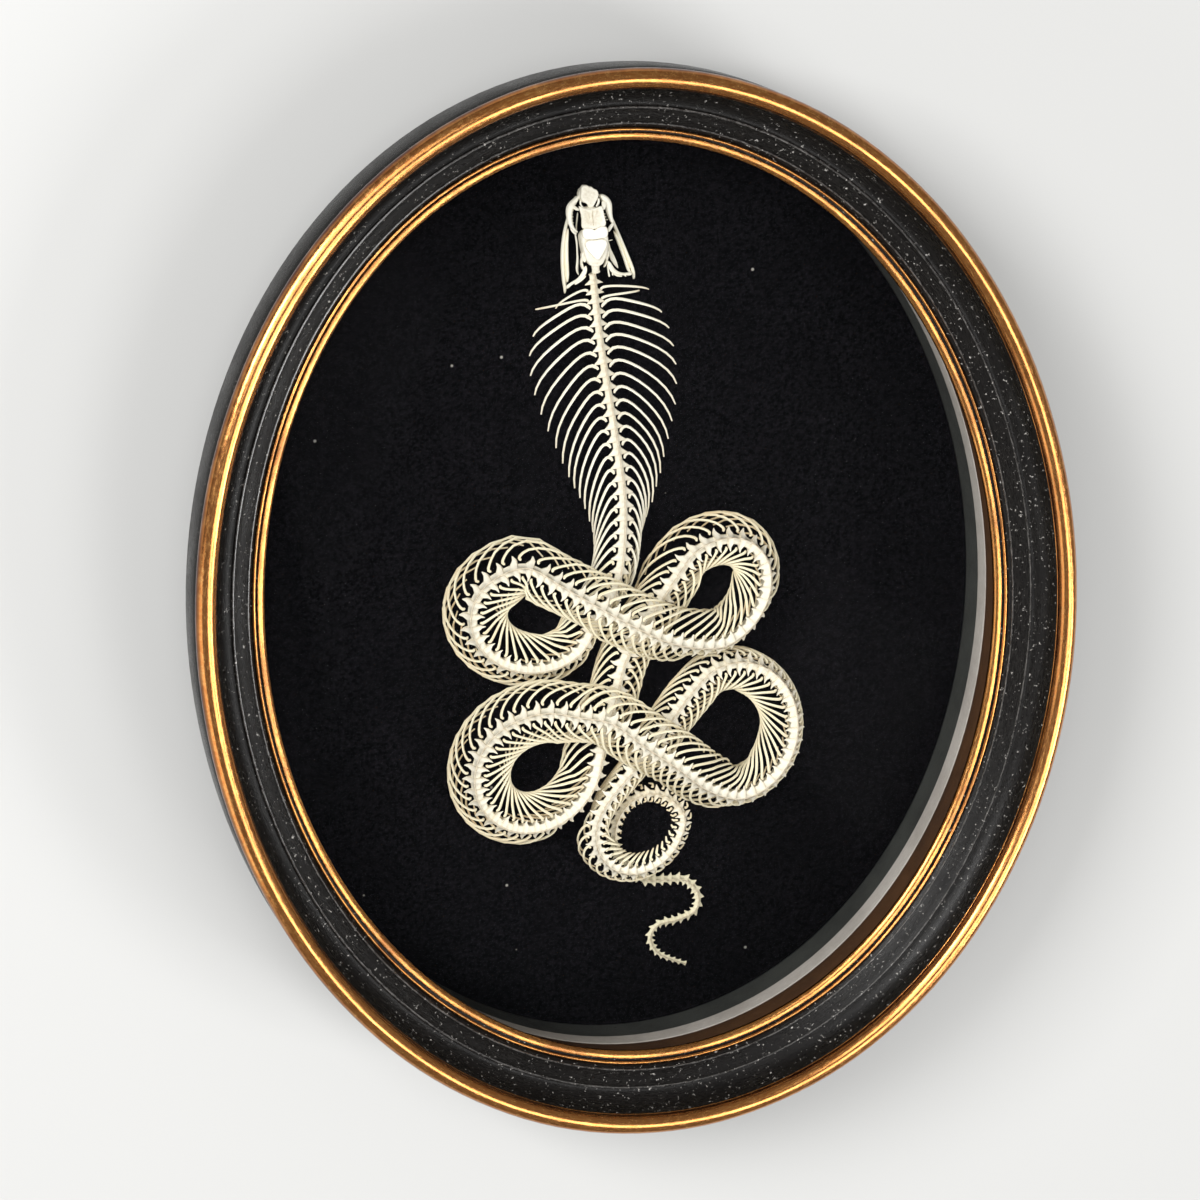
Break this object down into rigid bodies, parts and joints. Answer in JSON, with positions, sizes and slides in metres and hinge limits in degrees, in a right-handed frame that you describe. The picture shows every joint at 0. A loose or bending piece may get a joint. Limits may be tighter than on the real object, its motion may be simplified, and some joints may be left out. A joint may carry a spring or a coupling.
{
  "type": "framed snake skeleton",
  "caption": "Articulated snake skeleton laid out in crossing loops on black velvet inside an oval, glazed shadow box with a black and gilt frame.",
  "frame": {"origin": "centre of the oval frame, on the back of the box", "axes": "+Z out of the glass, +Y towards the snake's head along the oval's long way, +X to the right seen through the glass"},
  "size_m": [0.2434, 0.2942, 0.0476],
  "materials": {
    "black_wood": "ebonised, worn satin",
    "gilt": "aged gilt",
    "box_wood": "dark painted",
    "backing": "plain board",
    "velvet": "velvet",
    "glazing": "clear sheet glass",
    "bone": "dry bleached bone",
    "skull_bone": "dry bleached bone"
  },
  "bodies": {
    "root": {"frame_moulding": "black_wood", "frame_outer_bead": "gilt", "frame_inner_lip": "gilt", "box_wall": "box_wood", "box_back": "backing", "velvet_pad": "velvet", "glass": "glazing", "neck_hood_left": "bone", "neck_hood_right": "bone", "upper_left_bend_left": "bone", "upper_left_bend_right": "bone", "upper_crossing_left": "bone", "upper_crossing_right": "bone", "upper_right_bend_left": "bone", "upper_right_bend_right": "bone", "middle_left": "bone", "middle_right": "bone", "lower_left_bend_left": "bone", "lower_left_bend_right": "bone", "lower_crossing_left": "bone", "lower_crossing_right": "bone", "lower_right_bend_left": "bone", "lower_right_bend_right": "bone", "lower_return_left": "bone", "lower_return_right": "bone", "ring_left": "bone", "ring_right": "bone", "tail_base": "bone", "tail_tip": "bone", "skull_braincase": "skull_bone", "skull_frontals": "skull_bone", "skull_snout": "skull_bone", "maxilla_left": "skull_bone", "maxilla_right": "skull_bone", "pterygoid_left": "skull_bone", "pterygoid_right": "skull_bone", "quadrate_left": "skull_bone", "quadrate_right": "skull_bone", "mandible_left": "skull_bone", "mandible_right": "skull_bone"}
  },
  "joints": []
}
